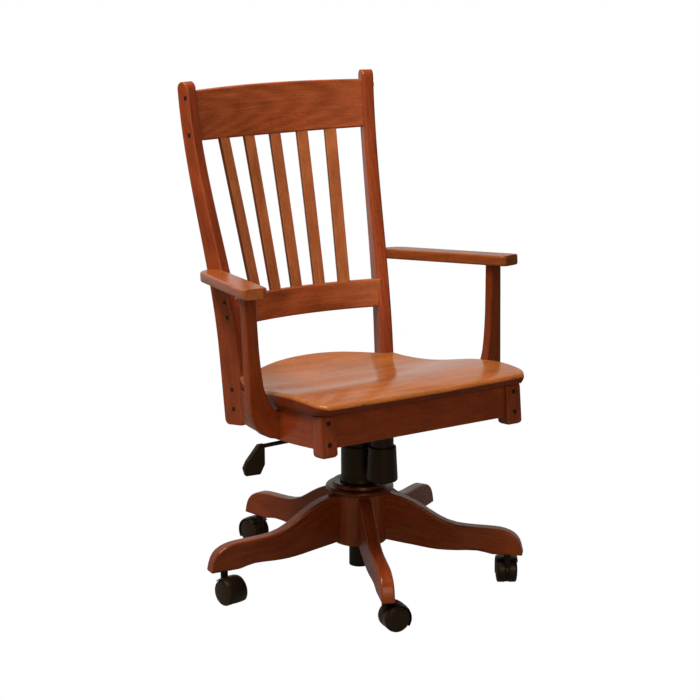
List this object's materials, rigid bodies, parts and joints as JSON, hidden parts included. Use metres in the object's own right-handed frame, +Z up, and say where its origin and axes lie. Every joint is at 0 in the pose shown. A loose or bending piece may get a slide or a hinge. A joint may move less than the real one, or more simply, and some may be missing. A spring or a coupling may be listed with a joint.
{
  "type": "desk chair",
  "caption": "Cherry-wood swivel desk chair with slatted back, flat open arms, shaped wooden seat, gas lift, tilt control and a wooden star base on twin-wheel casters.",
  "frame": {"origin": "on the floor, on the column's axis", "axes": "+Z up, -Y the way the sitter faces, +X to the sitter's left"},
  "size_m": [0.6155, 0.6206, 0.9457],
  "materials": {
    "cherry": "satin lacquer",
    "dowel_wood": "bare",
    "dark_plug": "satin lacquer",
    "black_plastic": "fine grain",
    "wheel_plastic": "moulded",
    "black_metal": "powder coat",
    "steel": "zinc plated",
    "rubber": "matte"
  },
  "bodies": {
    "base": {"hub": "cherry", "hub_ring": "cherry", "leg_1": "cherry", "leg_2": "cherry", "leg_3": "cherry", "leg_4": "cherry", "leg_5": "cherry", "leg_dowels": "dowel_wood", "stand_tube": "black_metal", "guide_bush": "black_plastic", "thrust_bearing": "steel", "cover_lower": "black_plastic", "caster_stems": "steel"},
    "spindle": {"piston_rod": "steel", "retaining_clip": "steel"},
    "cover_slide": {"cover_middle": "black_plastic"},
    "lift": {"gas_cylinder": "black_metal", "cover_upper": "black_plastic", "tilt_housing": "black_metal", "tilt_axle": "steel", "tension_bolt": "steel", "tension_spring": "rubber"},
    "button": {"release_button": "steel"},
    "knob": {"tension_knob": "black_plastic"},
    "lever": {"lever_rod": "black_metal", "lever_paddle": "black_plastic"},
    "seat_frame": {"seat": "cherry", "seat_plate": "black_metal", "plate_bolts": "steel", "front_rail": "cherry", "back_rail": "cherry", "side_rail_left": "cherry", "side_rail_right": "cherry", "front_post_left": "cherry", "front_post_right": "cherry", "back_post_left": "cherry", "back_post_right": "cherry", "lower_back_rail": "cherry", "crest_rail": "cherry", "slat_1": "cherry", "slat_2": "cherry", "slat_3": "cherry", "slat_4": "cherry", "slat_5": "cherry", "arm_left": "cherry", "arm_right": "cherry", "arm_support_left": "cherry", "arm_support_right": "cherry", "frame_screws": "steel", "plugs": "dark_plug"},
    "caster_1": {"caster_hood_1": "black_plastic"},
    "wheels_1": {"caster_wheels_1": "wheel_plastic"},
    "caster_2": {"caster_hood_2": "black_plastic"},
    "wheels_2": {"caster_wheels_2": "wheel_plastic"},
    "caster_3": {"caster_hood_3": "black_plastic"},
    "wheels_3": {"caster_wheels_3": "wheel_plastic"},
    "caster_4": {"caster_hood_4": "black_plastic"},
    "wheels_4": {"caster_wheels_4": "wheel_plastic"},
    "caster_5": {"caster_hood_5": "black_plastic"},
    "wheels_5": {"caster_wheels_5": "wheel_plastic"}
  },
  "joints": [
    {"name": "seat_swivel", "type": "hinge", "parent": "base", "child": "spindle", "pos_m": [0, 0, 0.1], "axis": [0, 0, 1], "continuous": true},
    {"name": "height_slide", "type": "slide", "parent": "spindle", "child": "lift", "axis": [0, 0, 1], "range_m": [0, 0.1]},
    {"name": "cover_slide", "type": "slide", "parent": "base", "child": "cover_slide", "axis": [0, 0, 1], "range_m": [0, 0.05]},
    {"name": "seat_tilt", "type": "hinge", "parent": "lift", "child": "seat_frame", "pos_m": [0, -0.04758, 0.36185], "axis": [-1, 0, 0], "range_deg": [0, 8], "stiffness_Nm_per_rad": 150, "springref_deg": -17.19},
    {"name": "lever_lift", "type": "hinge", "parent": "lift", "child": "lever", "pos_m": [-0.04, 0, 0.3426], "axis": [0, 1, 0], "range_deg": [0, 2.5], "stiffness_Nm_per_rad": 2, "springref_deg": -5.73},
    {"name": "button_press", "type": "slide", "parent": "lift", "child": "button", "axis": [0, 0, -1], "range_m": [0, 0.0018], "stiffness_N_per_m": 1500, "springref_m": -0.004},
    {"name": "tension_turn", "type": "hinge", "parent": "lift", "child": "knob", "pos_m": [0, -0.079, 0.25], "axis": [0, 0, 1], "range_deg": [-360, 360]},
    {"name": "caster_1_swivel", "type": "hinge", "parent": "base", "child": "caster_1", "pos_m": [-0.28429, 0.02737, 0.05], "axis": [0, 0, 1], "continuous": true},
    {"name": "caster_1_roll", "type": "hinge", "parent": "caster_1", "child": "wheels_1", "pos_m": [-0.28133, 0.01063, 0.025], "axis": [-0.9848, -0.1736, 0], "continuous": true},
    {"name": "caster_2_swivel", "type": "hinge", "parent": "base", "child": "caster_2", "pos_m": [-0.11388, -0.26191, 0.05], "axis": [0, 0, 1], "continuous": true},
    {"name": "caster_2_roll", "type": "hinge", "parent": "caster_2", "child": "wheels_2", "pos_m": [-0.09714, -0.26486, 0.025], "axis": [-0.1736, -0.9848, 0], "continuous": true},
    {"name": "caster_3_swivel", "type": "hinge", "parent": "base", "child": "caster_3", "pos_m": [0.2139, -0.18924, 0.05], "axis": [0, 0, 1], "continuous": true},
    {"name": "caster_3_roll", "type": "hinge", "parent": "caster_3", "child": "wheels_3", "pos_m": [0.22291, -0.17483, 0.025], "axis": [0.848, -0.5299, 0], "continuous": true},
    {"name": "caster_4_swivel", "type": "hinge", "parent": "base", "child": "caster_4", "pos_m": [0.24608, 0.14495, 0.05], "axis": [0, 0, 1], "continuous": true},
    {"name": "caster_4_roll", "type": "hinge", "parent": "caster_4", "child": "wheels_4", "pos_m": [0.23166, 0.15396, 0.025], "axis": [0.5299, 0.848, 0], "continuous": true},
    {"name": "caster_5_swivel", "type": "hinge", "parent": "base", "child": "caster_5", "pos_m": [-0.06182, 0.27883, 0.05], "axis": [0, 0, 1], "continuous": true},
    {"name": "caster_5_roll", "type": "hinge", "parent": "caster_5", "child": "wheels_5", "pos_m": [-0.06477, 0.29557, 0.025], "axis": [0.9848, 0.1736, 0], "continuous": true}
  ],
  "couplings": [
    {"joint": "cover_slide", "follows": "height_slide", "ratio": 0.5},
    {"joint": "button_press", "follows": "lever_lift", "m_per_rad": 0.04125}
  ]
}
